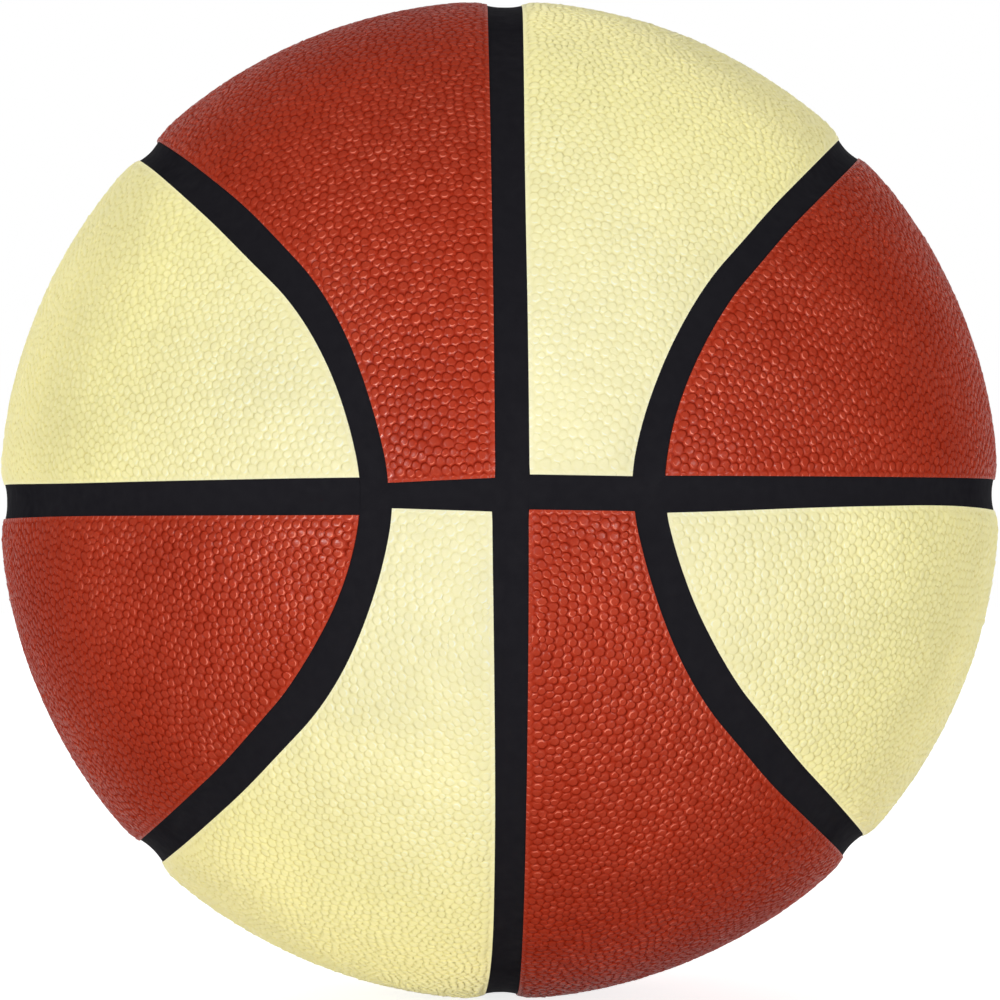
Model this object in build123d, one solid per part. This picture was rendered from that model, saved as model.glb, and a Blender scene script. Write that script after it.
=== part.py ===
from build123d import *
import math
import os

# Ball: outer size over the crowns of the cover panels
ball_diameter = 242.0

# Wall of the ball, layer by layer from the outside in
cover_thickness = 1.6
sponge_thickness = 1.2
carcass_thickness = 0.6
winding_thickness = 0.8
bladder_thickness = 0.7
glue_line = 0.15

# Channels between the cover panels
channel_width = 7.4
channel_depth = 1.7
cover_edge_radius = 1.1

# Oval channels, in degrees: lean of the long sides, and half angle of the round ends
oval_lean = 45.0
oval_end_angle = 30.0

# Valve: where it sits, in degrees from the back of the ball
valve_turn = 8.0
valve_rise = 10.0

# Valve body: flange inside the bladder, boss towards the centre, stem out through the wall
valve_flange_diameter = 28.0
valve_flange_thickness = 1.2
valve_boss_diameter = 13.0
valve_boss_length = 9.0
valve_stem_diameter = 8.4
valve_recess = 0.3

# Valve core: the plug that the inflation needle goes through
core_head_diameter = 6.4
core_head_thickness = 1.2
core_plug_diameter = 5.0
core_plug_length = 14.0
core_clearance = 0.04
needle_bore_diameter = 2.2
needle_funnel_diameter = 3.6
needle_funnel_depth = 0.8

# Cutting tools reach this far past what they cut
overrun = 5.0

# Radii of the layers
ball_radius = ball_diameter / 2
cover_inner = ball_radius - cover_thickness
sponge_outer = cover_inner - glue_line
sponge_inner = sponge_outer - sponge_thickness
carcass_outer = sponge_inner - glue_line
carcass_inner = carcass_outer - carcass_thickness
winding_outer = carcass_inner - glue_line
winding_inner = winding_outer - winding_thickness
bladder_outer = winding_inner - glue_line
bladder_inner = bladder_outer - bladder_thickness

# Channel strips fill the gaps between the panels up to the channel floor
strip_outer = ball_radius - channel_depth
strip_inner = carcass_outer + glue_line
strip_edge = channel_width / 2
panel_edge = strip_edge + glue_line
reach = ball_radius + overrun

# Directions: right, front and up, as the ball is seen from the front
right = Vector(1, 0, 0)
front = Vector(0, -1, 0)
up = Vector(0, 0, 1)

# The upper right quarter of an oval: its long side leans between the equator and the meridian,
# and its front end is round about an axis in the plane of the equator, so that the two run smoothly on.
lean, end = math.radians(oval_lean), math.radians(oval_end_angle)
oval_inward = Vector(math.sin(lean), 0, -math.cos(lean))
end_turn = math.acos(math.sin(end) / math.sin(lean))
end_axis = Vector(math.cos(end_turn), -math.sin(end_turn), 0)
parting = oval_inward.cross(end_axis).normalized()
end_forward = Vector(-math.sin(end_turn), -math.cos(end_turn), 0)


def beyond(direction, distance=0):
    """A block that fills the side of a plane that the direction points to."""
    plane = Plane(origin=direction * distance, z_dir=direction)
    return plane * Pos(0, 0, reach) * Box(4 * reach, 4 * reach, 2 * reach)


def shell(outer_radius, inner_radius):
    """A closed hollow sphere about the ball's centre."""
    return Sphere(outer_radius) - Sphere(inner_radius)


def end_cone(offset):
    """Everything inside the round front end of the right oval, moved outward by offset."""
    height = 2 * reach
    plane = Plane(origin=end_axis * (-offset / math.sin(end)), x_dir=-up, z_dir=end_axis)
    return plane * Pos(0, 0, height / 2) * Cone(0, height * math.tan(end), height)


def front_to_back(part):
    """The mirror image of a part at the back of the ball."""
    return mirror(part, about=Plane.XZ)


ahead = beyond(parting)
astern = front_to_back(ahead)


def joined(end_piece, long_piece):
    """A quarter of an oval's run: both its round ends and the long side between them."""
    return end_piece + long_piece + front_to_back(end_piece)


def side_patch(outer_radius, inner_radius):
    """The upper right patch of a layer inside the oval."""
    layer = shell(outer_radius, inner_radius) & beyond(up, panel_edge)
    end_piece = layer & ahead & end_cone(-panel_edge)
    long_piece = (layer - ahead - astern) & beyond(oval_inward, panel_edge)
    return joined(end_piece, long_piece)


def arch_patch(outer_radius, inner_radius):
    """The upper right patch of a layer between the oval and the meridian, from front to back."""
    layer = shell(outer_radius, inner_radius) & beyond(up, panel_edge) & beyond(right, panel_edge)
    end_piece = (layer & ahead) - end_cone(panel_edge)
    long_piece = (layer - ahead - astern) & beyond(-oval_inward, panel_edge)
    return joined(end_piece, long_piece)


def with_round_edge(patch):
    """A cover panel with its outer edge rounded down towards the channels."""
    middle = (ball_radius + cover_inner) / 2
    rim = [edge for edge in patch.edges() if all(v.center().length > middle for v in edge.vertices())]
    return fillet(rim, radius=cover_edge_radius)


def four_ways(part):
    """The part in the upper right, and its mirror images in the other three quarters."""
    left = mirror(part, about=Plane.YZ)
    return {
        "upper_right": part,
        "upper_left": left,
        "lower_right": mirror(part, about=Plane.XY),
        "lower_left": mirror(left, about=Plane.XY),
    }


# Valve axis, and a plane at the ball's centre that faces along it
turn, rise = math.radians(valve_turn), math.radians(valve_rise)
valve_axis = Vector(math.sin(turn) * math.cos(rise), math.cos(turn) * math.cos(rise), math.sin(rise))
valve_plane = Plane(origin=(0, 0, 0), z_dir=valve_axis)


def rod(diameter, low, high):
    """A cylinder on the valve axis, between two distances from the ball's centre."""
    return valve_plane * Pos(0, 0, (low + high) / 2) * Cylinder(diameter / 2, high - low)


flange_outer = bladder_inner - glue_line
flange_inner = flange_outer - valve_flange_thickness
boss_end = flange_inner - valve_boss_length
stem_end = ball_radius - valve_recess
head_seat = stem_end - core_head_thickness
core_end = head_seat - core_plug_length
valve_passage = rod(valve_stem_diameter + 2 * glue_line, boss_end, reach)


def make_valve_body():
    """Flange bonded inside the bladder, with the boss and stem that carry the core."""
    flange = rod(valve_flange_diameter, boss_end, reach) & shell(flange_outer, flange_inner)
    boss = rod(valve_boss_diameter, boss_end, reach) & Sphere(flange_outer)
    stem = rod(valve_stem_diameter, boss_end, stem_end)
    bore = rod(core_plug_diameter + 2 * core_clearance, boss_end - overrun, reach)
    seat = rod(core_head_diameter + 2 * core_clearance, head_seat, reach)
    return flange + boss + stem - bore - seat


def make_valve_core():
    """Headed plug with the needle's passage through it and a funnel at the mouth."""
    head = rod(core_head_diameter, head_seat, stem_end)
    plug = rod(core_plug_diameter, core_end, stem_end)
    bore = rod(needle_bore_diameter, core_end - overrun, reach)
    funnel_shape = Cone(needle_bore_diameter / 2, needle_funnel_diameter / 2, needle_funnel_depth)
    funnel = valve_plane * Pos(0, 0, stem_end - needle_funnel_depth / 2) * funnel_shape
    return head + plug - bore - funnel


def make_strips():
    """Rubber strips along the channels, butted where they cross."""
    band = shell(strip_outer, strip_inner)
    # The meridian's band is turned, so that the poles of its spheres lie off the strip
    turned_band = Rot(0, 90, 0) * band
    meridian = turned_band & beyond(right, -strip_edge) & beyond(-right, -strip_edge)
    equator = band & beyond(up, -strip_edge) & beyond(-up, -strip_edge)
    upper_band = band & beyond(up)
    oval_end = (upper_band & ahead & end_cone(strip_edge)) - end_cone(-strip_edge)
    slanted = beyond(oval_inward, -strip_edge) & beyond(-oval_inward, -strip_edge)
    upper_oval = joined(oval_end, (upper_band - ahead - astern) & slanted)
    clear_of_oval = beyond(end_forward) - end_cone(-panel_edge)
    front_equator = (equator & beyond(right, panel_edge) & beyond(end_forward)) - end_cone(panel_edge)
    strips = {"meridian_strip": meridian}
    for name, strip in {
        "oval_strip": upper_oval + mirror(upper_oval, about=Plane.XY),
        "side_equator_strip": (equator & beyond(right)) - clear_of_oval - front_to_back(clear_of_oval),
        "front_equator_strip": front_equator,
        "back_equator_strip": front_to_back(front_equator),
    }.items():
        strips["right_" + name] = strip
        strips["left_" + name] = mirror(strip, about=Plane.YZ)
    return strips


def make_nodes():
    """Every piece of the ball by its name."""
    nodes = {
        "bladder": shell(bladder_outer, bladder_inner) - valve_passage,
        "nylon_winding": shell(winding_outer, winding_inner) - valve_passage,
        "carcass": shell(carcass_outer, carcass_inner) - valve_passage,
        "valve_body": make_valve_body(),
        "valve_core": make_valve_core(),
    }
    nodes.update(make_strips())
    for place, patch in four_ways(arch_patch(sponge_outer, sponge_inner)).items():
        nodes[place + "_arch_sponge"] = patch
    for place, patch in four_ways(side_patch(sponge_outer, sponge_inner)).items():
        nodes[place + "_side_sponge"] = patch
    for place, patch in four_ways(with_round_edge(arch_patch(ball_radius, cover_inner))).items():
        nodes[place + "_arch_panel"] = patch
    for place, patch in four_ways(with_round_edge(side_patch(ball_radius, cover_inner))).items():
        nodes[place + "_side_panel"] = patch
    for name in ("upper_right_arch_sponge", "upper_right_arch_panel"):
        nodes[name] = nodes[name] - valve_passage
    return nodes


os.makedirs("parts", exist_ok=True)
for name, node in make_nodes().items():
    export_step(node, f"parts/{name}.step")
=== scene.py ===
import math

import bpy
import numpy as np
from mathutils import Matrix, Vector
from mathutils.geometry import delaunay_2d_cdt


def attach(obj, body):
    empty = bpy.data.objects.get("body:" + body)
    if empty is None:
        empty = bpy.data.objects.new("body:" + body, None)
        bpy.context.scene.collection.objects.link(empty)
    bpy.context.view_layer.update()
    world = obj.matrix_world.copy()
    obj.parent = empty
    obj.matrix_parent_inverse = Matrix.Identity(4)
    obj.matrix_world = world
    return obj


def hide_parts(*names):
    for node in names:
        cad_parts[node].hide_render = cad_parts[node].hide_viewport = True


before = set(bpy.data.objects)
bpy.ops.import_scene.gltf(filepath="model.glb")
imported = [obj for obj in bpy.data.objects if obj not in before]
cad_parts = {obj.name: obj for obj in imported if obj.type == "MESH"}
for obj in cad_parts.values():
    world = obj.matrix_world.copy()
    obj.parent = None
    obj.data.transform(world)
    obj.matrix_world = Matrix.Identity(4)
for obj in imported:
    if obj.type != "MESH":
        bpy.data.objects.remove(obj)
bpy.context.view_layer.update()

# Sizes in millimetres, as in the CAD model
METRE = 1000.0
RADIUS = 121.0
COVER_INNER = 119.4
STRIP_INNER = 118.2
GAP = 3.85
LEAN = math.radians(45.0)
END = math.radians(30.0)
VALVE_PANEL = "upper_right_arch_panel"
VALVE_HOLE = 4.35
VALVE_TURN = math.radians(8.0)
VALVE_RISE = math.radians(10.0)
VALVE_AXIS = np.array(
    [
        math.sin(VALVE_TURN) * math.cos(VALVE_RISE),
        math.cos(VALVE_TURN) * math.cos(VALVE_RISE),
        math.sin(VALVE_RISE),
    ]
)

# Pebbles: their pitch in mm, the colour level of their tops, how much rounder their rings are than the
# creases, and how far back the fine rings reach, as a share of the ball's radius
PITCH = 2.18
CROWN = 0.8
ROUND = 0.6
FINE_BEFORE = -0.27

# How loosely they lie, in pitches: along an edge, inside a panel, and how far the loose ones stay from an
# edge. Around the valve there are more of them, by the last share.
ROW_LOOSE = 0.14
FREE_LOOSE = 0.26
FREE_CLEAR = 0.6
VALVE_ROW = 1.25

# How they differ: in height, in height over slow waves across the panel, and in tilt
TALL = (0.78, 1.1)
SWELL = (0.9, 0.08)
SWELL_WAVES = 10
TILT = 0.25

# Where the panel ends, pebbles lie flatter: their share of height at the edge, and the mm to gain the rest.
# The valve's hole has such an edge too, and is rounded by a depth over a reach in mm.
EDGE_FLAT = (0.35, 2.2)
HOLE_FLAT = (0.15, 3.0)
HOLE_ROLL = (0.3, 1.2)
NEAR_HOLE = 0.5
EDGE_TINT = 6.0
LIP = 0.3

# For each colour, pebbles have a height in mm, then rings of points around each one's middle, each as a share
# of the way out and of the height, fine in front and one coarse ring behind, and the height of the web
# between them, in front and behind. All lean away from the crossings: by how much the summit moves, how much
# higher the far side is, and how much of the groove is filled on the near side. Calm is how much flatter they
# lie at the crossings. Roll is the depth, reach and power of the panel's rounded edge.
PEBBLES = {
    "red": {
        "height": 0.4,
        "fine": ((0.5, 0.97), (0.71, 0.84), (0.87, 0.02)),
        "coarse": (0.72, 0.88),
        "web": 0.6,
        "coarse_web": 0.15,
        "lean": 0.25,
        "tip": 0.1,
        "fill": 0.7,
        "calm": 0.0,
        "roll": (0.85, 2.6, 1.0),
    },
    "cream": {
        "height": 0.46,
        "fine": ((0.5, 0.96), (0.72, 0.82), (0.88, 0.1)),
        "coarse": (0.72, 0.88),
        "web": 0.5,
        "coarse_web": 0.15,
        "lean": 0.3,
        "tip": 0.15,
        "fill": 0.6,
        "calm": 0.2,
        "roll": (1.0, 1.9, 1.2),
    },
}

# The ball is laid by hand, so its channels waver. Their half widths on the photo, in mm, for each quarter:
# along the meridian at degrees from the equator, along the equator at degrees from the meridian, inside the
# ovals and on the short stretches between them, and along an oval at mm from its end, where the whole channel
# also lies off the CAD model's line, outward where positive. Between these they bend smoothly over a reach.
MERIDIAN_AT = (0, 35, 60, 80)
EQUATOR_AT = (17, 35, 55, 80)
SHORT_EQUATOR_AT = (2, 15)
OVAL_WIDE_AT = (0, 20, 42, 75, 130)
OVAL_OFF_AT = (0, 14, 28, 44, 82, 140)
MERIDIAN_SMOOTH = 8
EQUATOR_SMOOTH = 6
OVAL_SMOOTH = 7
QUARTERS = {
    "upper_right": {
        "signs": (1, 1),
        "meridian": (3.7, 3.7, 4.75, 5.75),
        "equator": (3.6, 3.55, 3.7, 4.0),
        "short_equator": (3.95, 3.4),
        "oval": (3.9, 3.3, 3.25, 3.1, 3.3),
        "off": (2.15, 0.9, -0.62, -1.37, 0.2, -0.3),
    },
    "upper_left": {
        "signs": (-1, 1),
        "meridian": (3.75, 3.75, 3.4, 2.7),
        "equator": (3.6, 3.45, 3.4, 4.1),
        "short_equator": (3.25, 2.15),
        "oval": (3.25, 3.05, 3.45, 3.95, 3.25),
        "off": (2.0, 0.3, -0.42, -0.5, 0.75, -0.12),
    },
    "lower_right": {
        "signs": (1, -1),
        "meridian": (3.5, 3.2, 3.2, 3.2),
        "equator": (4.55, 3.25, 2.6, 3.6),
        "short_equator": (3.65, 4.2),
        "oval": (3.65, 3.8, 4.3, 4.15, 3.55),
        "off": (2.15, 0.05, -1.13, -1.5, 0.65, -0.15),
    },
    "lower_left": {
        "signs": (-1, -1),
        "meridian": (4.55, 3.65, 3.6, 4.75),
        "equator": (4.6, 4.35, 4.05, 4.2),
        "short_equator": (4.05, 2.95),
        "oval": (3.65, 3.55, 4.25, 3.85, 3.75),
        "off": (2.25, 1.1, -0.1, -0.68, 0.75, -0.25),
    },
}

# An oval's upper quarter, front end: long side, axis of the round end, and where they meet
END_TURN = math.acos(math.sin(END) / math.sin(LEAN))
INWARD = np.array([math.sin(LEAN), 0, -math.cos(LEAN)])
END_AXIS = np.array([math.cos(END_TURN), -math.sin(END_TURN), 0])
END_FORWARD = np.array([-math.sin(END_TURN), -math.cos(END_TURN), 0])
PARTING = np.cross(INWARD, END_AXIS)
UP = np.array([0, 0, 1.0])
FRONT = np.array([0, -1.0, 0])
SLANT = np.array([math.cos(LEAN), 0, math.sin(LEAN)])
TOUCH = (END_AXIS - INWARD * math.sin(END)) / math.cos(END)
TOUCH_TURN = math.atan2(TOUCH @ UP, TOUCH @ END_FORWARD)
TOUCH_SIDE = math.atan2(TOUCH @ FRONT, TOUCH @ SLANT)
TOUCH_ALONG = TOUCH_TURN * math.sin(END) * RADIUS
BACK = np.array([1, -1, 1])


def unit(v):
    return v / np.linalg.norm(v, axis=-1, keepdims=True)


# Direction of the middle of the upper right panels
PANEL_MIDDLE = {
    "arch": unit(np.array([0.38, 0, 0.92])),
    "side": unit(np.array([0.92, 0, 0.38])),
}


def smooth(at, knots, values, reach):
    """Values between the knots, with their corners rounded off over the reach."""
    steps = [np.interp(np.abs(at + o * reach), knots, values) for o in (-1, -0.5, 0, 0.5, 1)]
    return sum(steps) / len(steps)


def meridian_half(p, place):
    at = np.degrees(np.arctan2(np.abs(p[:, 2]), np.abs(p[:, 1])))
    return smooth(at, MERIDIAN_AT, QUARTERS[place]["meridian"], MERIDIAN_SMOOTH)


def equator_half(p, place, kind):
    at = np.degrees(np.arctan2(np.abs(p[:, 0]), np.abs(p[:, 1])))
    if kind == "arch":
        return np.interp(at, SHORT_EQUATOR_AT, QUARTERS[place]["short_equator"])
    return smooth(at, EQUATOR_AT, QUARTERS[place]["equator"], EQUATOR_SMOOTH)


def oval_half(p, place, kind):
    """Distance in mm from the oval's line to the edge of the panel outside it, arch, or inside it, side."""
    a = np.abs(p) * BACK
    end = np.arctan2(a @ UP, a @ END_FORWARD) * math.sin(END) * RADIUS
    side = TOUCH_ALONG + (TOUCH_SIDE - np.arctan2(a @ FRONT, a @ SLANT)) * RADIUS
    at = np.where(a @ PARTING > 0, end, side)
    half = smooth(at, OVAL_WIDE_AT, QUARTERS[place]["oval"], OVAL_SMOOTH)
    off = smooth(at, OVAL_OFF_AT, QUARTERS[place]["off"], OVAL_SMOOTH)
    return half + off if kind == "arch" else half - off


def inside(p, kind, place):
    """Distance in mm on the ball from unit vectors to the edge of a panel, positive inside it."""
    a = np.abs(p) * BACK
    equator = RADIUS * np.arcsin(np.clip(a[:, 2], -1, 1)) - equator_half(p, place, kind)
    end = END - np.arccos(np.clip(a @ END_AXIS, -1, 1))
    side = np.arcsin(np.clip(a @ INWARD, -1, 1))
    oval = RADIUS * np.where(a @ PARTING > 0, end, side)
    if kind == "side":
        return np.minimum(equator, oval - oval_half(p, place, kind))
    meridian = RADIUS * np.arcsin(np.clip(a[:, 0], -1, 1)) - meridian_half(p, place)
    return np.minimum(np.minimum(equator, meridian), -oval - oval_half(p, place, kind))


# The seams as lines of unit vectors, each with the direction across it
def meridian_line(turns):
    """From the front, over the top."""
    line = np.stack([np.zeros_like(turns), -np.cos(turns), np.sin(turns)], 1)
    return line, np.tile([1.0, 0, 0], (len(turns), 1))


def equator_line(turns):
    """From the front, over the right."""
    line = np.stack([np.sin(turns), -np.cos(turns), np.zeros_like(turns)], 1)
    return line, np.tile([0, 0, 1.0], (len(turns), 1))


def oval_line(steps):
    """The upper half of the right oval, from the front to the back, and the direction out of it."""
    turns = np.linspace(0, TOUCH_TURN, steps)
    ring = np.outer(np.cos(turns), END_FORWARD) + np.outer(np.sin(turns), UP)
    end = END_AXIS * math.cos(END) + ring * math.sin(END)
    end_out = ring * math.cos(END) - END_AXIS * math.sin(END)
    turns = np.linspace(TOUCH_SIDE, -TOUCH_SIDE, steps)[1:-1]
    side = np.outer(np.cos(turns), SLANT) + np.outer(np.sin(turns), FRONT)
    side_out = np.tile(-INWARD, (len(turns), 1))
    line = np.concatenate([end, side, end[::-1] * BACK])
    return line, np.concatenate([end_out, side_out, end_out[::-1] * BACK])


def beside(line, across, distance):
    """The line moved by a distance in mm on the ball."""
    turn = (distance / RADIUS)[:, None]
    return line * np.cos(turn) + across * np.sin(turn)


OUTLINE_STEPS = 1600
ON_EDGE = 0.01


def panel_outline(kind, place):
    """The panel's edges as runs of unit vectors around it, as if it were at the upper right."""
    line, out = oval_line(OUTLINE_STEPS)
    half = oval_half(line, place, kind)
    runs = [beside(line, out, half if kind == "arch" else -half)]
    if kind == "side":
        line, up = equator_line(np.linspace(math.pi, 0, 2 * OUTLINE_STEPS))
        runs.append(beside(line, up, equator_half(line, place, kind)))
    else:
        line, up = equator_line(np.linspace(math.pi / 2, math.pi, OUTLINE_STEPS))
        runs.append(beside(line, up, equator_half(line, place, kind)))
        line, right = meridian_line(np.linspace(math.pi, 0, 2 * OUTLINE_STEPS))
        runs.append(beside(line, right, meridian_half(line, place)))
        line, up = equator_line(np.linspace(0, math.pi / 2, OUTLINE_STEPS))
        runs.append(beside(line, up, equator_half(line, place, kind)))
    return [run[inside(run, kind, place) > -ON_EDGE] for run in runs]


def resample(run, pitch, rng):
    """Points along a run about a pitch apart, from its first point, without its last."""
    steps = np.linalg.norm(np.diff(run, axis=0), axis=1)
    along = np.concatenate([[0], np.cumsum(steps)])
    count = max(2, int(round(along[-1] * RADIUS / pitch)))
    at = np.arange(count) / count * along[-1]
    at[1:] += rng.uniform(-ROW_LOOSE, ROW_LOOSE, count - 1) * along[-1] / count
    return unit(np.stack([np.interp(at, along, run[:, i]) for i in range(3)], 1))


def spiral(count):
    """Unit vectors spread evenly over the ball."""
    i = np.arange(count) + 0.5
    z = 1 - 2 * i / count
    turn = i * math.pi * (3 - math.sqrt(5))
    r = np.sqrt(1 - z * z)
    return np.stack([r * np.cos(turn), r * np.sin(turn), z], 1)


def random_turn(rng):
    q = rng.normal(size=(3, 3))
    q, _ = np.linalg.qr(q)
    return q


# Triangles nearer than this to an edge, in pitches, or to the valve's hole, in mm, aren't kept
EDGE_SLIVER = 0.05
HOLE_SLIVER = 0.05


def triangulate(points, rim, kind, place, middle, hole):
    """Triangles between the points inside the panel, anticlockwise as seen from outside."""
    side = unit(np.cross(middle, FRONT))
    ahead = np.cross(side, middle)
    flat = np.stack([points @ ahead, points @ side], 1) / (1 + points @ middle)[:, None]
    found = delaunay_2d_cdt([Vector(f) for f in flat], rim, [], 0, 1e-9)
    order = np.array([o[0] for o in found[3]])
    tris = order[np.array([f for f in found[2] if len(f) == 3])]
    centre = unit(points[tris].mean(axis=1))
    keep = inside(centre, kind, place) > EDGE_SLIVER * PITCH
    if hole is not None:
        keep &= centre @ hole < math.cos((VALVE_HOLE + HOLE_SLIVER) / RADIUS)
    tris = tris[keep]
    a, b, c = points[tris[:, 0]], points[tris[:, 1]], points[tris[:, 2]]
    turned = np.einsum("ij,ij->i", np.cross(b - a, c - a), a + b + c) < 0
    tris[turned] = tris[turned][:, ::-1]
    return tris


def relax(points, fixed, tris):
    """Each free point goes to the middle of the triangles around it."""
    a, b, c = points[tris[:, 0]], points[tris[:, 1]], points[tris[:, 2]]
    area = np.linalg.norm(np.cross(b - a, c - a), axis=1)
    centre = (a + b + c) / 3
    total, weight = np.zeros_like(points), np.zeros(len(points))
    for k in range(3):
        np.add.at(total, tris[:, k], centre * area[:, None])
        np.add.at(weight, tris[:, k], area)
    out = points.copy()
    free = (weight > 0) & ~fixed
    out[free] = unit(total[free] / weight[free, None])
    return out


def pebble_seeds(kind, place, middle, rng, hole):
    """Pebble middles over a panel: loose rows inside it, and one row along its edge."""
    runs = panel_outline(kind, place)
    edge = np.concatenate([resample(run, PITCH, rng) for run in runs])
    rim = [(i, (i + 1) % len(edge)) for i in range(len(edge))]
    if hole is not None:
        count = int(round(2 * math.pi * VALVE_HOLE / PITCH * VALVE_ROW))
        side = unit(np.cross(hole, UP))
        high = np.cross(side, hole)
        turns = np.arange(count) / count * 2 * math.pi
        ring = np.outer(np.cos(turns), side) + np.outer(np.sin(turns), high)
        ring = hole * math.cos(VALVE_HOLE / RADIUS) + ring * math.sin(VALVE_HOLE / RADIUS)
        rim += [(len(edge) + i, len(edge) + (i + 1) % count) for i in range(count)]
        edge = np.concatenate([edge, ring])
    count = int(4 * math.pi * RADIUS**2 / (PITCH**2 * math.sqrt(3) / 2))
    free = spiral(count) @ random_turn(rng)
    free = unit(free + rng.normal(size=free.shape) * FREE_LOOSE * PITCH / RADIUS)
    free = free[(free[:, 0] > 0) & (free[:, 2] > 0)]
    free = free[inside(free, kind, place) > FREE_CLEAR * PITCH]
    if hole is not None:
        free = free[free @ hole < math.cos((VALVE_HOLE + FREE_CLEAR * PITCH) / RADIUS)]
    points = np.concatenate([edge, free])
    fixed = np.arange(len(points)) < len(edge)
    for _ in range(2):
        points = relax(points, fixed, triangulate(points, rim, kind, place, middle, hole))
    return points, triangulate(points, rim, kind, place, middle, hole), len(free)


def blend(a, b, f):
    return unit(a + (b - a) * f)


def panel_edges(tris):
    """The edges of the triangles, which edges each triangle has, and how many triangles share each edge."""
    corners = np.stack([tris, np.roll(tris, -1, axis=1)], 2).reshape(-1, 2)
    edges, edge_of = np.unique(np.sort(corners, axis=1), axis=0, return_inverse=True)
    edge_of = edge_of.reshape(-1, 3)
    return edges, edge_of, np.bincount(edge_of.ravel(), minlength=len(edges))


def half_sizes(count, edges, half):
    """Mean distance from each pebble's middle to its creases."""
    total = np.zeros(count)
    uses = np.zeros(count)
    for k in (0, 1):
        np.add.at(total, edges[:, k], half)
        np.add.at(uses, edges[:, k], 1)
    return total / np.maximum(uses, 1)


def pebble_faces(tris, edges, edge_of, fine, rings, starts):
    """Faces of the pebbled side: each pebble's corner of each triangle, in rings from its middle outward."""
    at_mid, at_centre, at_spoke, at_inner = starts
    faces = []
    for k in range(3):
        for close in (True, False):
            t = np.nonzero(fine[tris[:, k]] == close)[0]
            cell, e_next, e_last = tris[t, k], edge_of[t, k], edge_of[t, (k + 2) % 3]
            s_next = at_spoke + (e_next * 2 + (edges[e_next, 1] == cell)) * rings
            s_last = at_spoke + (e_last * 2 + (edges[e_last, 1] == cell)) * rings
            s_mid = at_inner + (t * 3 + k) * rings
            next_mid, last_mid, centre = at_mid + e_next, at_mid + e_last, at_centre + t
            if close:
                parts = [(cell, s_next, s_mid), (cell, s_mid, s_last)]
                for r in range(rings - 1):
                    parts += [(s_next + r, s_next + r + 1, s_mid + r + 1, s_mid + r)]
                    parts += [(s_mid + r, s_mid + r + 1, s_last + r + 1, s_last + r)]
                r = rings - 1
                parts += [(s_next + r, next_mid, centre, s_mid + r)]
                parts += [(s_mid + r, centre, last_mid, s_last + r)]
            else:
                parts = [(cell, s_next, s_last), (s_next, next_mid, centre)]
                parts += [(s_next, centre, s_last), (s_last, centre, last_mid)]
            faces += [np.stack(part, 1) for part in parts]
    return faces


def rim_chains(tris, edges, edge_of, uses, fine, rings, starts):
    """Points along every edge that has a triangle on one side only, from one pebble's middle to the next."""
    at_mid, _, at_spoke, _ = starts
    chains = []
    for t, k in zip(*np.nonzero(uses[edge_of] == 1)):
        e, i, j = edge_of[t, k], tris[t, k], tris[t, (k + 1) % 3]
        end = int(edges[e, 1] == i)
        first = [at_spoke + (e * 2 + end) * rings + r for r in range(rings if fine[i] else 1)]
        last = [at_spoke + (e * 2 + 1 - end) * rings + r for r in range(rings if fine[j] else 1)]
        chains.append(np.array([i, *first, at_mid + e, *last[::-1], j]))
    return chains


def to_ring(p, hole):
    """Unit vectors moved onto the rim of the valve's hole."""
    away = unit(p - hole * (p @ hole)[:, None])
    return hole * math.cos(VALVE_HOLE / RADIUS) + away * math.sin(VALVE_HOLE / RADIUS)


# How pebbles lean up and down the ball, how near to a crease a ring comes, how much the web dips behind a
# pebble, how far from the crossings they lie calm, and how far their tops stay under the ball's radius
LEAN_UP = 0.25
RING_LIMIT = 0.95
WEB_DIP = 0.65
CALM_REACH = 0.25
TOP = 1.05

# Painted highlight on a pebble's near side, where the light catches it: on its last two fine rings or its
# coarse ring, the least of it and how much more, and how it fades from the front to the sides, by shares of
# the radius
HIGHLIGHT_FINE = [1.0, 0.6]
HIGHLIGHT_COARSE = 0.3
HIGHLIGHT_LEAST = 0.6
HIGHLIGHT_MORE = 0.6
HIGHLIGHT_FROM = 0.3
HIGHLIGHT_OVER = 0.5
HIGHLIGHT_SIDES = 0.5


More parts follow.
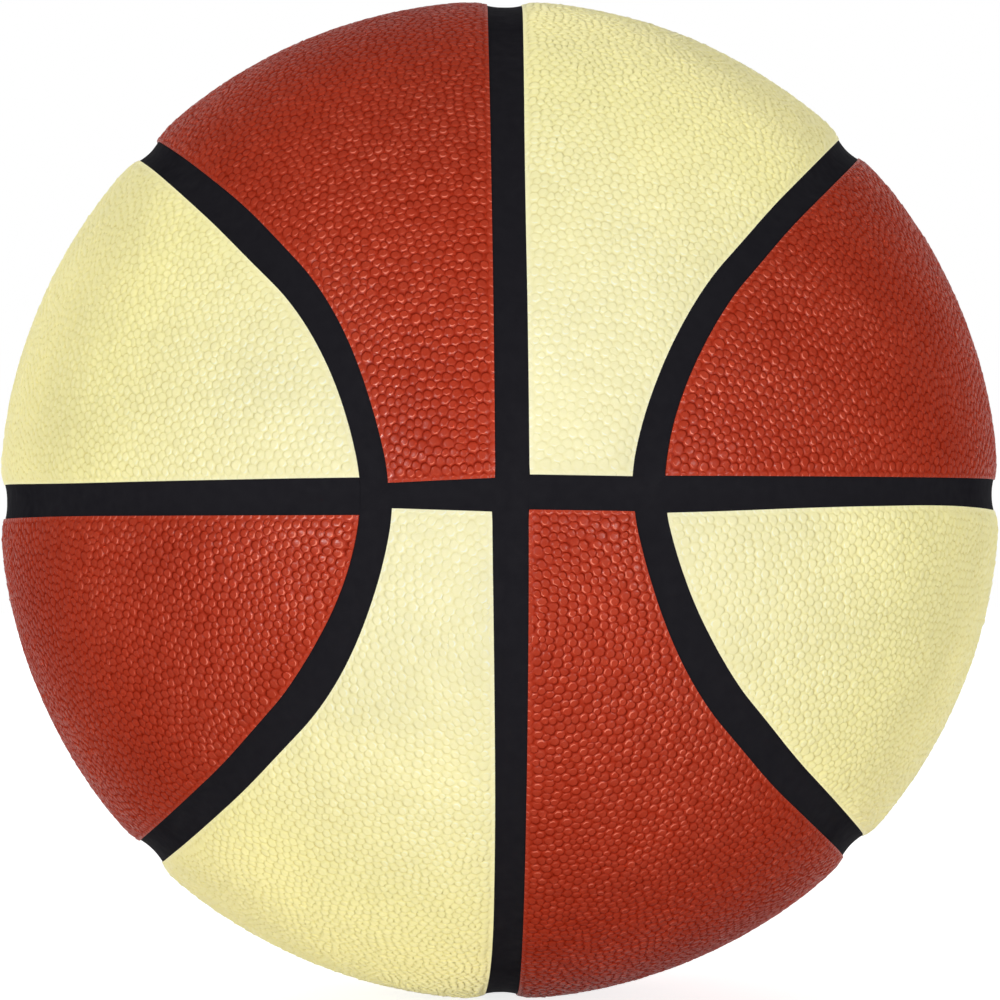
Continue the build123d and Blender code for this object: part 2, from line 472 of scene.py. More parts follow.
def make_panel(place, kind, pebble, seed, material):
    """A cover panel with every pebble in its mesh, closed underneath."""
    rng = np.random.default_rng(seed)
    name = f"{place}_{kind}_panel"
    signs = QUARTERS[place]["signs"]
    middle = PANEL_MIDDLE[kind]
    hole = VALVE_AXIS if name == VALVE_PANEL else None
    points, tris, n_free = pebble_seeds(kind, place, middle, rng, hole)
    n = len(points)
    rings = len(pebble["fine"])
    fine = points[:, 1] < FINE_BEFORE
    edges, edge_of, uses = panel_edges(tris)

    # Directions of all points of the pebbled face: middles, creases between two and three pebbles, and rings
    mids = blend(points[edges[:, 0]], points[edges[:, 1]], 0.5)
    centres = unit(points[tris].mean(axis=1))
    size = half_sizes(n, edges, np.linalg.norm(points[edges[:, 0]] - points[edges[:, 1]], axis=1) / 2)
    outward = points * np.array([1, 0, 1]) + UP * LEAN_UP * signs[1]
    outward -= points * np.einsum("ij,ij->i", outward, points)[:, None]
    shift = outward * pebble["lean"] * size[:, None]
    shift[: n - n_free] = 0
    outward = unit(outward)

    def ring_shares(cell):
        """Share of the way out and of the height for each ring point of the pebbles."""
        shares = np.tile(np.array(pebble["fine"]), (len(cell) // rings, 1))
        return np.where(fine[cell, None], shares, pebble["coarse"]).T

    def ring_points(cells, outer):
        """Points of the rings on the way from each pebble's middle to a crease, on rounder lines than it."""
        cell = np.repeat(cells, rings, axis=1).ravel()
        to = np.repeat(outer, cells.shape[1] * rings, axis=0)
        far = np.linalg.norm(to - points[cell], axis=1)
        at = np.minimum(ring_shares(cell)[0] * (size[cell] / far) ** ROUND, RING_LIMIT)[:, None]
        return cell, unit(points[cell] + (to - points[cell]) * at + shift[cell] * (1 - at))

    spoke_cell, spokes = ring_points(edges, mids)
    inner_cell, inner = ring_points(tris, centres)
    if hole is not None:
        near = (uses == 1) & (mids @ hole > math.cos((VALVE_HOLE + NEAR_HOLE) / RADIUS))
        mids[near] = to_ring(mids[near], hole)
        near = np.repeat(near, 2 * rings)
        spokes[near] = to_ring(spokes[near], hole)
    dirs = np.concatenate([unit(points + shift), mids, centres, spokes, inner])
    at_centre = n + len(edges)
    at_spoke = at_centre + len(tris)
    starts = (n, at_centre, at_spoke, at_spoke + len(spokes))

    # Height of the pebbles, each a little taller and more tilted than the next
    waves = rng.normal(size=(3, 3)) * SWELL_WAVES
    swell = np.sin(points @ waves + rng.uniform(0, 6.3, 3)).sum(axis=1)
    tall = rng.uniform(*TALL, n) * (SWELL[0] + SWELL[1] * swell)
    tilts = rng.normal(size=(n, 3)) * TILT
    shade = rng.uniform(0, 1, n)

    def far_side(cell, p):
        """1 on the side of a pebble away from the crossings, -1 on the near side."""
        return np.einsum("ij,ij->i", unit(p - points[cell]), outward[cell])

    def ring_height(cell, p):
        tilt = np.einsum("ij,ij->i", (p - points[cell]) / size[cell, None], tilts[cell])
        far = far_side(cell, p)
        share = ring_shares(cell)[1] * (1 + tilt + pebble["tip"] * far)
        return tall[cell] * (share + pebble["fill"] * (1 - share) * (1 - far) / 2)

    def ring_highlight(cell, p):
        """Where a pebble gets its painted highlight: on the near side, on its shoulder."""
        shoulder = np.tile([0.0] * (rings - len(HIGHLIGHT_FINE)) + HIGHLIGHT_FINE, len(cell) // rings)
        near = np.clip(-far_side(cell, p), 0, 1)
        front = np.clip((np.abs(points[cell, 1]) - HIGHLIGHT_FROM) / HIGHLIGHT_OVER, HIGHLIGHT_SIDES, 1)
        painted_highlight = np.where(fine[cell], shoulder, HIGHLIGHT_COARSE)
        return painted_highlight * near * front * (HIGHLIGHT_LEAST + HIGHLIGHT_MORE * shade[cell])

    # The web dips where one pebble lies behind another, and stands between those side by side
    along = unit(points[edges[:, 1]] - points[edges[:, 0]])
    behind = np.einsum("ij,ij->i", along, outward[edges[:, 0]]) ** 2
    web = np.where(fine[edges].all(axis=1), pebble["web"] * (1 - WEB_DIP * behind), pebble["coarse_web"])
    bump = np.concatenate(
        [
            tall,
            tall[edges].mean(axis=1) * web,
            tall[tris].mean(axis=1) * web[edge_of].mean(axis=1),
            ring_height(spoke_cell, spokes),
            ring_height(inner_cell, inner),
        ]
    )
    from_edge = np.maximum(inside(dirs, kind, place), 0)
    calm = 1 - pebble["calm"] * np.clip(1 - (1 - np.abs(dirs[:, 1])) / CALM_REACH, 0, 1)
    bump = 1 + (bump - 1) * calm * np.clip(EDGE_FLAT[0] + from_edge / EDGE_FLAT[1], 0, 1)
    depth, reach, power = pebble["roll"]
    drop = depth * np.exp(-((from_edge / reach) ** power))
    if hole is not None:
        from_hole = np.maximum(RADIUS * np.arccos(np.clip(dirs @ hole, -1, 1)) - VALVE_HOLE, 0)
        bump = 1 + (bump - 1) * np.clip(HOLE_FLAT[0] + from_hole / HOLE_FLAT[1], 0, 1)
        drop += HOLE_ROLL[0] * np.exp(-from_hole / HOLE_ROLL[1])
    radius = RADIUS - pebble["height"] * (TOP - bump) - drop
    top = dirs * radius[:, None]

    # Wall down to the underside, in two steps
    chains = rim_chains(tris, edges, edge_of, uses, fine, rings, starts)
    rim = np.unique(np.concatenate(chains))
    lip = len(top) + np.arange(len(rim))
    foot = lip + len(rim)
    spot = np.full(len(top), -1)
    spot[rim] = np.arange(len(rim))
    here = np.concatenate([c[:-1] for c in chains])
    there = np.concatenate([c[1:] for c in chains])
    walls = [np.stack([there, here, lip[spot[here]], lip[spot[there]]], 1)]
    walls.append(np.stack([lip[spot[there]], lip[spot[here]], foot[spot[here]], foot[spot[there]]], 1))

    # Smooth underside, with the wall's foot as its edge
    loose = np.nonzero(spot[:n] < 0)[0]
    under = np.where(spot[:n] < 0, -1, foot[spot[:n]])
    under[loose] = len(top) + 2 * len(rim) + np.arange(len(loose))
    rim_of = {(c[0], c[-1]): foot[spot[c]] for c in chains}
    below = []
    for a, b, c in tris:
        loop = []
        for i, j in ((a, b), (b, c), (c, a)):
            run = rim_of.get((i, j))
            loop += [under[i]] if run is None else list(run[:-1])
        below.append(loop[::-1])
    lip_points = dirs[rim] * (radius[rim] - LIP)[:, None]
    verts = np.concatenate([top, lip_points, dirs[rim] * COVER_INNER, points[loose] * COVER_INNER])

    # What the material reads: height with the painted highlight, each pebble's own shade, and the distance
    # from the edge
    painted_highlight_and_wear = np.concatenate([np.zeros(at_spoke), ring_highlight(spoke_cell, spokes), ring_highlight(inner_cell, inner)])
    between = [shade[edges].mean(axis=1), shade[tris].mean(axis=1)]
    extra = len(verts) - len(top)
    tone = [
        np.clip(painted_highlight_and_wear + (1 - painted_highlight_and_wear) * np.clip(bump, 0, 1) * CROWN, 0, 1),
        np.concatenate([shade, *between, shade[spoke_cell], shade[inner_cell]]),
        np.clip(from_edge / EDGE_TINT, 0, 1),
    ]
    tone = [np.concatenate([t, np.full(extra, rest)]) for t, rest in zip(tone, (0.5, 0.5, 0.0))]
    tone.append(np.ones(len(verts)))
    faces = pebble_faces(tris, edges, edge_of, fine, rings, starts)
    verts = verts * np.array([signs[0], 1, signs[1]])
    return build(name, verts, faces, walls, below, np.stack(tone, 1), signs, middle, material)


def chart(p, middle):
    """Flat map of unit vectors about the panel's middle, equal in area."""
    side = unit(np.cross(middle, FRONT))
    ahead = np.cross(side, middle)
    k = np.sqrt(2 / (1 + p @ middle))
    return np.stack([(p @ ahead) * k, (p @ side) * k], 1)


# Map for baking, in shares of its width: the face's two halves, the wall's columns beside it, the underside
BAKE_FILL = 0.97
BAKE_GAP = 0.03
BAKE_CORNER = (0.015, 0.01)
WALL_COLUMNS = 4
WALL_CORNER = (0.875, 0.02)
WALL_STEP = 0.03
WALL_SIZE = (0.018, 0.68)
WALL_DEPTH = 2.0
UNDER_MIDDLE = (0.93, 0.85)
UNDER_SIZE = (0.03, 0.05)


def bake_map(verts, index, sizes, starts, n_top, n_wall, signs, middle):
    """The places of all corners of the faces on the map for baking."""
    flat = chart(unit(verts * np.array([signs[0], 1, signs[1]])), middle)
    across, along = flat[index, 1], flat[index, 0]
    low = flat[:, 1].min()
    wide = flat[:, 1].max() - low
    scale = BAKE_FILL / (2 * wide + BAKE_GAP)
    of_face = np.repeat(np.arange(len(sizes)), sizes)
    centre = np.zeros(len(sizes))
    np.add.at(centre, of_face, along)
    front_half = (centre / sizes)[of_face] > 0
    u = np.where(front_half, along, -along) * scale + BAKE_CORNER[0]
    v = (across - low + np.where(front_half, 0, wide + BAKE_GAP)) * scale + BAKE_CORNER[1]

    half_wall = max(1, n_wall // 2)
    wall = (of_face >= n_top) & (of_face < n_top + n_wall)
    step = (of_face - n_top) % half_wall
    column = (step * WALL_COLUMNS) // half_wall
    deep = np.clip((RADIUS - np.linalg.norm(verts[index], axis=1)) / WALL_DEPTH, 0, 1)
    later = (np.arange(len(index)) - starts[of_face]) % 3 == 0
    high = (step + later) * WALL_COLUMNS / half_wall - column
    u = np.where(wall, WALL_CORNER[0] + column * WALL_STEP + deep * WALL_SIZE[0], u)
    v = np.where(wall, WALL_CORNER[1] + WALL_SIZE[1] * high, v)

    under = of_face >= n_top + n_wall
    u = np.where(under, UNDER_MIDDLE[0] + along * UNDER_SIZE[0], u)
    v = np.where(under, UNDER_MIDDLE[1] + (across - flat[:, 1].mean()) * UNDER_SIZE[1], v)
    return np.stack([u, v], 1)


SHARP_COVER = math.radians(58)


def build(name, verts, faces, walls, below, tone, signs, middle, material):
    """The panel's mesh with its colours and its map for baking."""
    mirrored = signs[0] * signs[1] < 0
    loops = [f[:, ::-1] if mirrored else f for f in faces + walls]
    flat_below = [f[::-1] if mirrored else f for f in below]
    sizes = [np.full(len(f), f.shape[1]) for f in loops]
    sizes = np.concatenate(sizes + [[len(f) for f in below]])
    index = np.concatenate([f.ravel() for f in loops] + [np.concatenate(flat_below)])
    used, index = np.unique(index, return_inverse=True)
    verts, tone = verts[used], tone[used]
    mesh = bpy.data.meshes.new(name)
    mesh.vertices.add(len(verts))
    mesh.vertices.foreach_set("co", (verts / METRE).astype(np.float32).ravel())
    mesh.loops.add(len(index))
    mesh.loops.foreach_set("vertex_index", index.astype(np.int32))
    mesh.polygons.add(len(sizes))
    starts = np.concatenate([[0], np.cumsum(sizes)[:-1]])
    mesh.polygons.foreach_set("loop_start", starts.astype(np.int32))
    mesh.polygons.foreach_set("use_smooth", np.ones(len(sizes), bool))
    mesh.update(calc_edges=True)

    n_top = sum(len(f) for f in faces)
    n_wall = sum(len(f) for f in walls)
    uv = bake_map(verts, index, sizes, starts, n_top, n_wall, signs, middle)
    layer = mesh.uv_layers.new(name="OFBake")
    layer.data.foreach_set("uv", uv.astype(np.float32).ravel())
    colour = mesh.color_attributes.new("pebble", "FLOAT_COLOR", "POINT")
    colour.data.foreach_set("color", tone.astype(np.float32).ravel())
    mesh.set_sharp_from_angle(angle=SHARP_COVER)
    mesh.validate()
    obj = bpy.data.objects.new(name.replace("_panel", "_cover"), mesh)
    bpy.context.scene.collection.objects.link(obj)
    mesh.materials.append(material)
    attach(obj, "ball")
    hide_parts(name)
    return obj


# Channels, in mm: how deep the floor lies at its edges, its hollow, and the half width that it is hollow
# over. The strips' edges are tucked under the panels.
FLOOR_DEPTH = 1.25
FLOOR_HOLLOW = 0.5
FLOOR_HALF = 3.6
TUCK = 0.35
TUCK_DEPTH = 1.9
STRIP_COLUMNS = 15
SHARP_STRIP = math.radians(50)


def floor_radius(p):
    """Radius of the channel's hollow floor: lowest along the middle, and where channels cross."""
    gap = np.zeros(len(p))
    for place, quarter in QUARTERS.items():
        here = (p[:, 0] * quarter["signs"][0] >= 0) & (p[:, 2] * quarter["signs"][1] >= 0)
        gap[here] = -np.maximum(inside(p[here], "arch", place), inside(p[here], "side", place))
    share = np.clip(gap / FLOOR_HALF, 0, 1)
    return RADIUS - FLOOR_DEPTH - FLOOR_HOLLOW * (1 - (1 - share) ** 2)


def make_strip(node, line, across, left, right, closed, material):
    """A rubber strip along a line of unit vectors, hollowed across, its edges tucked under the panels."""
    cols = np.sin(np.linspace(-1, 1, STRIP_COLUMNS) * math.pi / 2)
    grid = [beside(line, across, c * np.where(c < 0, left, right)) for c in cols]
    tucks = [beside(line, across, -left - TUCK), beside(line, across, right + TUCK)]
    grid = [g * floor_radius(g)[:, None] for g in grid]
    tops = [tucks[0] * (RADIUS - TUCK_DEPTH), *grid, tucks[1] * (RADIUS - TUCK_DEPTH)]
    sheet = np.stack([tucks[0] * STRIP_INNER, *tops, tucks[1] * STRIP_INNER], 1)
    rows, wide = sheet.shape[:2]
    faces = []
    for i in range(rows if closed else rows - 1):
        j = (i + 1) % rows
        for c in range(wide):
            d = (c + 1) % wide
            faces.append((i * wide + c, j * wide + c, j * wide + d, i * wide + d))
    if not closed:
        faces.append(tuple(range(wide)))
        faces.append(tuple(range((rows - 1) * wide, rows * wide))[::-1])
    mesh = bpy.data.meshes.new(node)
    mesh.from_pydata((sheet.reshape(-1, 3) / METRE).tolist(), [], faces)
    turning = np.einsum("ij,ij->i", across, np.cross(line, np.roll(line, -1, axis=0)))
    if turning[: rows - 1].sum() < 0:
        mesh.flip_normals()
    mesh.polygons.foreach_set("use_smooth", np.ones(len(faces), bool))
    mesh.set_sharp_from_angle(angle=SHARP_STRIP)
    mesh.update()
    obj = bpy.data.objects.new(node.replace("_strip", "_channel"), mesh)
    bpy.context.scene.collection.objects.link(obj)
    mesh.materials.append(material)
    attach(obj, "ball")
    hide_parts(node)
    return obj


# Materials
def srgb(*rgb):
    """A colour read as eight-bit sRGB, as linear values."""
    c = [v / 255 for v in rgb]
    return tuple(v / 12.92 if v <= 0.04045 else ((v + 0.055) / 1.055) ** 2.4 for v in c) + (1.0,)


class Nodes:
    """A material's node tree, with short ways to add to it."""

    def __init__(self, name):
        self.material = bpy.data.materials.new(name)
        self.material.use_nodes = True
        self.tree = self.material.node_tree
        self.shader = self.tree.nodes["Principled BSDF"]

    def add(self, kind, **values):
        node = self.tree.nodes.new(kind)
        for key, value in values.items():
            if key in node.inputs:
                node.inputs[key].default_value = value
            else:
                setattr(node, key, value)
        return node

    def join(self, a, b):
        self.tree.links.new(a, b)

    def noise(self, scale, detail=3.0, rough=0.55):
        node = self.add("ShaderNodeTexNoise", Scale=scale, Detail=detail, Roughness=rough)
        self.join(self.place(), node.inputs["Vector"])
        return node.outputs["Fac"]

    def place(self):
        if not hasattr(self, "_place"):
            self._place = self.add("ShaderNodeTexCoord").outputs["Object"]
        return self._place

    def ramp(self, value, *stops):
        node = self.add("ShaderNodeValToRGB")
        ramp = node.color_ramp
        while len(ramp.elements) < len(stops):
            ramp.elements.new(0.5)
        for element, (at, colour) in zip(ramp.elements, stops):
            element.position = at
            element.color = colour
        self.join(value, node.inputs["Fac"])
        return node.outputs["Color"]

    def mix(self, how, factor, a, b):
        node = self.add("ShaderNodeMix", data_type="RGBA", blend_type=how)
        for socket, value in ((node.inputs[0], factor), (node.inputs[6], a), (node.inputs[7], b)):
            if isinstance(value, (int, float, tuple)):
                socket.default_value = value
            else:
                self.join(value, socket)
        return node.outputs[2]

    def level(self, value, low, high, to_low, to_high):
        node = self.add("ShaderNodeMapRange")
        self.join(value, node.inputs["Value"])
        for key, v in (("From Min", low), ("From Max", high), ("To Min", to_low), ("To Max", to_high)):
            node.inputs[key].default_value = v
        return node.outputs["Result"]

    def bump(self, *layers):
        """Bump layers, each a height with its depth in metres."""
        normal = None
        for height, depth in layers:
            node = self.add("ShaderNodeBump", Strength=1.0, Distance=depth)
            self.join(height, node.inputs["Height"])
            if normal is not None:
                self.join(normal, node.inputs["Normal"])
            normal = node.outputs["Normal"]
        self.join(normal, self.shader.inputs["Normal"])

    def set(self, **values):
        for key, value in values.items():
            socket = self.shader.inputs[key.replace("_", " ")]
            if isinstance(value, (int, float, tuple)):
                socket.default_value = value
            else:
                self.join(value, socket)


# Bands of painted light and shade over the covers, by shares of the radius from the ball's middle to the
# front and back
LIMB_BAND = 0.38
TIP_BAND = 0.99
MIDDLE_BAND = 0.43


def cover_material(name, crease, flank, crown, painted_highlight, rim, limb, middle, tip, rough, flat, gloss, spread):
    """Pebbled leather: painted shade that darkens creases and flanks below lighter crowns, painted highlights
    on the near shoulders, edge tones, bands of painted light and shade toward the tips at the crossings, and
    a fine grain.
    """
    m = Nodes(name)
    parts = m.add("ShaderNodeSeparateColor")
    m.join(m.add("ShaderNodeVertexColor", layer_name="pebble").outputs["Color"], parts.inputs["Color"])
    height, each, edge = parts.outputs["Red"], parts.outputs["Green"], parts.outputs["Blue"]
    # Painted shade and highlight: low points take the darker flank and crease colours, the near shoulders the
    # painted highlight
    colour = m.ramp(height, (0.0, crease), (0.35, flank), (CROWN, crown), (1.0, painted_highlight))
    colour = m.mix("MIX", m.level(edge, 0.0, 0.2, 0.3, 0.0), colour, rim)
    # Painted light and shade: the colour is tinted in bands by its nearness to the front or back of the ball,
    # standing in for how the light falls from the crossings to the sides
    axes = m.add("ShaderNodeSeparateXYZ")
    m.join(m.place(), axes.inputs["Vector"])
    depth = m.add("ShaderNodeMath", operation="ABSOLUTE")
    m.join(axes.outputs["Y"], depth.inputs[0])
    near = m.level(depth.outputs[0], LIMB_BAND * RADIUS / METRE, TIP_BAND * RADIUS / METRE, 0.0, 1.0)
    bands = m.ramp(near, (0.0, limb), (MIDDLE_BAND, middle), (1.0, tip))
    colour = m.mix("MULTIPLY", 1.0, colour, bands)
    patches = m.level(m.noise(28.0, 4.0), 0.3, 0.7, 0.95, 1.04)
    colour = m.mix("MULTIPLY", 1.0, colour, patches)
    colour = m.mix("MULTIPLY", 1.0, colour, m.level(each, 0.0, 1.0, 1.0 - spread, 1.0 + spread))
    painted_highlight_and_wear = m.level(m.noise(420.0, 3.0), 0.3, 0.7, -0.08, 0.08)
    shine = m.add("ShaderNodeMath", operation="ADD")
    m.join(m.level(height, 0.1, 0.9, rough[0], rough[1]), shine.inputs[0])
    m.join(painted_highlight_and_wear, shine.inputs[1])
    facing = m.add("ShaderNodeLayerWeight", Blend=0.5).outputs["Facing"]
    m.set(Base_Color=colour, Roughness=shine.outputs[0])
    mirror = m.add("ShaderNodeMath", operation="MULTIPLY")
    m.join(m.level(facing, 0.12, 0.45, gloss[0], gloss[1]), mirror.inputs[0])
    m.join(m.level(height, 0.1, 0.5, 0.2, 1.0), mirror.inputs[1])
    m.set(IOR=1.5, Specular_IOR_Level=mirror.outputs[0], Diffuse_Roughness=flat)
    m.bump((m.noise(2600.0, 2.0), 0.00002))
    return m.material


def rubber_material(name, colour, pale, rough, scale=160.0, grain=0.000012):
    """Moulded rubber: nearly even, with a faint bloom of dust."""
    m = Nodes(name)
    dust = m.level(m.noise(scale, 5.0, 0.62), 0.45, 0.8, 0.0, 0.35)
    m.set(Base_Color=m.mix("MIX", dust, colour, pale))
    m.set(Roughness=m.level(m.noise(scale * 2.3, 3.0), 0.3, 0.7, rough - 0.06, rough + 0.06))
    facing = m.add("ShaderNodeLayerWeight", Blend=0.5).outputs["Facing"]
    m.set(IOR=1.5, Specular_IOR_Level=m.level(facing, 0.2, 0.7, 0.09, 0.01))
    m.bump((m.noise(3000.0, 2.0), grain))
    return m.material


# For both covers: crease and flank are painted shade, the brightest tone is a painted highlight, and limb,
# middle and tip are painted light and shade across the ball
red = cover_material(
    "red_cover",
    crease=srgb(113, 20, 7),
    flank=srgb(164, 44, 19),
    crown=srgb(176, 56, 31),
    painted_highlight=srgb(240, 132, 110),
    rim=srgb(180, 59, 36),
    limb=(1.01, 1.04, 1.08, 1),
    middle=(1.015, 1.0, 1.0, 1),
    tip=(1.04, 1.045, 0.985, 1),
    rough=(0.5, 0.22),
    flat=0.0,
    gloss=(0.17, 0.015),
    spread=0.04,
)
cream = cover_material(
    "cream_cover",
    crease=srgb(228, 213, 132),
    flank=srgb(251, 243, 174),
    crown=srgb(254, 246, 180),
    painted_highlight=srgb(255, 255, 216),
    rim=srgb(255, 250, 198),
    limb=(1.0, 1.0, 1.0, 1),
    middle=(0.95, 0.965, 1.02, 1),
    tip=(0.897, 0.927, 1.27, 1),
    rough=(0.58, 0.4),
    flat=1.0,
    gloss=(0.28, 0.28),
    spread=0.01,
)
black = rubber_material("channel_rubber", srgb(19, 18, 23), srgb(25, 24, 29), 0.75)
valve = rubber_material("valve_rubber", srgb(26, 26, 27), srgb(46, 45, 45), 0.48, 500.0)
sponge = rubber_material("sponge_foam", srgb(206, 198, 176), srgb(224, 218, 200), 0.85, 700.0, 0.00008)
carcass = rubber_material("carcass_rubber", srgb(48, 47, 46), srgb(66, 64, 62), 0.7, 90.0)
bladder = rubber_material("bladder_butyl", srgb(37, 37, 38), srgb(52, 51, 51), 0.5, 60.0)


def thread_material(name):
    """Wound nylon thread: fine strands that cross in several directions."""
    m = Nodes(name)
    heights = None
    for turn in ((0.3, 0.2, 0.0), (1.4, 0.5, 0.9), (2.4, 1.2, 1.9)):
        spin = m.add("ShaderNodeMapping", Rotation=turn)
        m.join(m.place(), spin.inputs["Vector"])
        wave = m.add("ShaderNodeTexWave", Scale=420.0, Distortion=1.5)
        m.join(spin.outputs["Vector"], wave.inputs["Vector"])
        strand = wave.outputs["Color"]
        heights = strand if heights is None else m.mix("LIGHTEN", 1.0, heights, strand)
    m.set(Base_Color=m.ramp(heights, (0.2, srgb(170, 165, 150)), (0.8, srgb(226, 222, 208))))
    m.set(Roughness=m.level(heights, 0, 1, 0.75, 0.55))
    m.bump((heights, 0.0001))
    return m.material


winding = thread_material("winding_nylon")

# Cover panels: red and cream take turns, each with its own seed
RED = {"upper_left_arch", "upper_right_side", "lower_left_side", "lower_right_arch"}
FIRST_SEED = 18
SEED_STEP = 7
kinds = [(place, kind) for place in QUARTERS for kind in ("arch", "side")]
for i, (place, kind) in enumerate(kinds):
    seed = FIRST_SEED + i * SEED_STEP
    if f"{place}_{kind}" in RED:
        make_panel(place, kind, PEBBLES["red"], seed, red)
    else:
        make_panel(place, kind, PEBBLES["cream"], seed, cream)

# Channel strips, butted where they cross: points along each, and where the short ones start, in gaps
MERIDIAN_STEPS = 900
OVAL_STEPS = 300
SIDE_STEPS = 420
SHORT_STEPS = 40
SHORT_START = 0.9
line, across = meridian_line(np.linspace(0, 2 * math.pi, MERIDIAN_STEPS, endpoint=False))
high = line[:, 2] >= 0
halves = [
    np.where(high, meridian_half(line, f"upper_{side}"), meridian_half(line, f"lower_{side}"))
    for side in ("left", "right")
]
make_strip("meridian_strip", line, across, *halves, True, black)
for side, sign in (("right", 1), ("left", -1)):
    turned = np.array([sign, 1, 1])
    line, out = oval_line(OVAL_STEPS)
    low = np.array([1, 1, -1])
    whole = np.concatenate([line, line[-2:0:-1] * low])
    whole_out = np.concatenate([out, out[-2:0:-1] * low])
    halves = []
    for kind in ("side", "arch"):
        upper = oval_half(line, f"upper_{side}", kind)
        lower = oval_half(line, f"lower_{side}", kind)
        halves.append(np.concatenate([upper, lower[-2:0:-1]]))
    make_strip(f"{side}_oval_strip", whole * turned, whole_out * turned, *halves, True, black)
    gap = GAP / RADIUS
    end = math.pi / 2 - END_TURN - END
    long = np.linspace(end + gap / 2, math.pi - end - gap / 2, SIDE_STEPS)
    short = np.linspace(gap * SHORT_START, end - gap, SHORT_STEPS)
    for node, kind, turns in (
        (f"{side}_side_equator_strip", "side", long),
        (f"{side}_front_equator_strip", "arch", short),
        (f"{side}_back_equator_strip", "arch", math.pi - short),
    ):
        line, up = equator_line(turns)
        halves = [equator_half(line, f"{level}_{side}", kind) for level in ("lower", "upper")]
        make_strip(node, line * turned, up, *halves, False, black)

# Materials of the CAD nodes that stay
for name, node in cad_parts.items():
    if name.endswith("_sponge"):
        finish = sponge
    elif name.startswith("valve"):
        finish = valve
    else:
        finish = {"carcass": carcass, "nylon_winding": winding, "bladder": bladder}.get(name)
    if finish:
        node.data.materials.clear()
        node.data.materials.append(finish)


# Stage: a white floor and surroundings, and soft light. Places and sizes in metres.
WHITE = (1, 1, 1, 1)
FLOOR_COLOUR = (0.85, 0.85, 0.85, 1)
FLOOR_GLOW = 0.8
FLOOR_REACH = 6.0
FLOOR_LEVEL = -0.1211


def floor_material():
    """A pale floor that keeps the shadow, and looks white to the camera and in reflections."""
    m = Nodes("floor")
    m.set(Base_Color=FLOOR_COLOUR, Roughness=0.9, Specular_IOR_Level=0.0)
    path = m.add("ShaderNodeLightPath")
    seen = m.add("ShaderNodeMath", operation="MAXIMUM")
    m.join(path.outputs["Is Camera Ray"], seen.inputs[0])
    m.join(path.outputs["Is Glossy Ray"], seen.inputs[1])
    light = m.add("ShaderNodeEmission", Strength=FLOOR_GLOW)
    both = m.add("ShaderNodeAddShader")
    pick = m.add("ShaderNodeMixShader")
    m.join(m.shader.outputs["BSDF"], both.inputs[0])
    m.join(light.outputs["Emission"], both.inputs[1])
    m.join(seen.outputs[0], pick.inputs["Fac"])
    m.join(m.shader.outputs["BSDF"], pick.inputs[1])
    m.join(both.outputs[0], pick.inputs[2])
    m.join(pick.outputs[0], m.tree.nodes["Material Output"].inputs["Surface"])
    return m.material


floor_mesh = bpy.data.meshes.new("floor")
corners = [(x * FLOOR_REACH, y * FLOOR_REACH, FLOOR_LEVEL) for x, y in ((-1, -1), (1, -1), (1, 1), (-1, 1))]
floor_mesh.from_pydata(corners, [], [(0, 1, 2, 3)])
floor_mesh.materials.append(floor_material())
floor = bpy.data.objects.new("floor", floor_mesh)
bpy.context.scene.collection.objects.link(floor)

# The world is white to the camera and in reflections. Its light on the ball grows from the front to the back,
# where the white backdrop is, between these places on the Y axis.
AMBIENT_FROM = (-0.2, 1.0)
AMBIENT = (0.27, 0.95)


def make_world():
    world = bpy.data.worlds.new("studio")
    bpy.context.scene.world = world
    world.use_nodes = True
    tree = world.node_tree
    background = tree.nodes["Background"]
    path = tree.nodes.new("ShaderNodeLightPath")
    seen = tree.nodes.new("ShaderNodeMath")
    seen.operation = "MAXIMUM"
    mirrored = tree.nodes.new("ShaderNodeMath")
    mirrored.operation = "MAXIMUM"
    tree.links.new(path.outputs["Is Glossy Ray"], mirrored.inputs[0])
    tree.links.new(path.outputs["Is Transmission Ray"], mirrored.inputs[1])
    tree.links.new(path.outputs["Is Camera Ray"], seen.inputs[0])
    tree.links.new(mirrored.outputs[0], seen.inputs[1])
    toward = tree.nodes.new("ShaderNodeTexCoord")
    axes = tree.nodes.new("ShaderNodeSeparateXYZ")
    tree.links.new(toward.outputs["Generated"], axes.inputs["Vector"])
    ambient = tree.nodes.new("ShaderNodeMapRange")
    ambient.inputs["From Min"].default_value, ambient.inputs["From Max"].default_value = AMBIENT_FROM
    ambient.inputs["To Min"].default_value, ambient.inputs["To Max"].default_value = AMBIENT
    tree.links.new(axes.outputs["Y"], ambient.inputs["Value"])
    strength = tree.nodes.new("ShaderNodeMapRange")
    strength.inputs["To Max"].default_value = 1.0
    tree.links.new(ambient.outputs["Result"], strength.inputs["To Min"])
    tree.links.new(seen.outputs[0], strength.inputs["Value"])
    tree.links.new(strength.outputs["Result"], background.inputs["Strength"])
    background.inputs["Color"].default_value = WHITE


make_world()


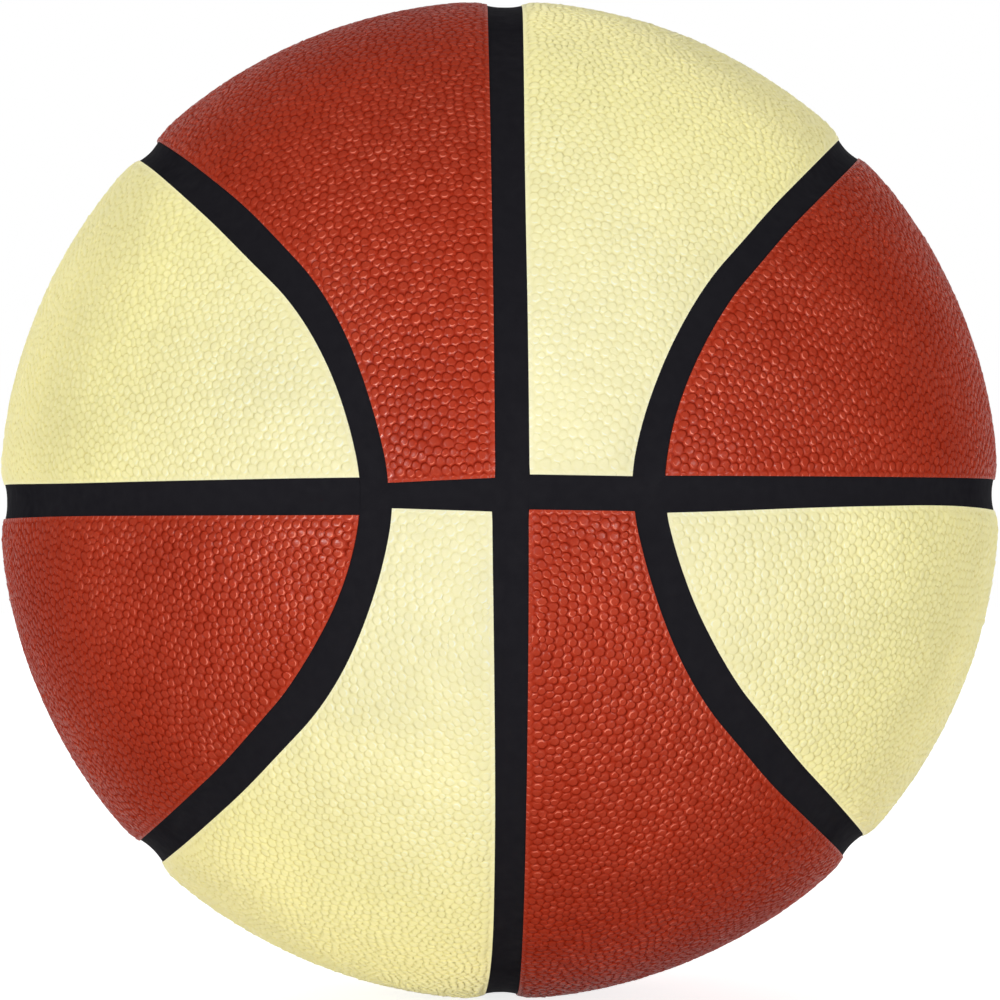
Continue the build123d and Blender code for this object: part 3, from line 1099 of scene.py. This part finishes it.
def soft_light(name, place, size, power):
    """A square soft box that faces the ball."""
    lamp = bpy.data.lights.new(name, "AREA")
    lamp.shape = "SQUARE"
    lamp.size = size
    lamp.energy = power
    obj = bpy.data.objects.new(name, lamp)
    obj.location = place
    obj.rotation_euler = (-Vector(place)).to_track_quat("-Z", "Y").to_euler()
    bpy.context.scene.collection.objects.link(obj)


LAMP_DISTANCE = 1.5
LAMP_SIZE = 0.18
LAMP_RISE = math.radians(-1)
for name, degrees, power in (("left_box", -28, 8.5), ("right_box", 28, 6.6)):
    turn = math.radians(degrees)
    level = math.cos(LAMP_RISE)
    toward = Vector((math.sin(turn) * level, -math.cos(turn) * level, math.sin(LAMP_RISE)))
    soft_light(name, toward * LAMP_DISTANCE, LAMP_SIZE, power)

# Camera: straight on from a few radii away, turned by the little that the ball is turned on the photo, where
# the ball's edge is a circle with this radius in pixels
YAW = math.radians(1.35)
TILT_DOWN = math.radians(-0.72)
ROLL = math.radians(-0.32)
AWAY = 8.0
EDGE_PIXELS = 499.7
HALF_PICTURE = 500.0
SENSOR = 36.0


def spin(angle, first, second):
    """A turn in the plane of two axes."""
    turn = np.eye(3)
    turn[first, first] = turn[second, second] = math.cos(angle)
    turn[first, second] = -math.sin(angle)
    turn[second, first] = math.sin(angle)
    return turn


right, forward, up = spin(YAW, 0, 1) @ spin(TILT_DOWN, 1, 2) @ spin(ROLL, 2, 0)
lens = bpy.data.cameras.new("camera")
lens.sensor_width = SENSOR
half_frame = HALF_PICTURE / EDGE_PIXELS / math.sqrt(AWAY**2 - 1)
lens.lens = SENSOR / 2 / half_frame
lens.shift_x = 0.0006
lens.shift_y = -0.0002
lens.clip_start = 0.01
lens.clip_end = 50.0
camera = bpy.data.objects.new("camera", lens)
bpy.context.scene.collection.objects.link(camera)
pose = np.eye(4)
pose[:3, :3] = np.stack([right, up, -forward], 1)
pose[:3, 3] = -forward * AWAY * RADIUS / METRE
camera.matrix_world = Matrix(pose.tolist())
bpy.context.scene.camera = camera
bpy.context.scene.view_settings.view_transform = "Standard"
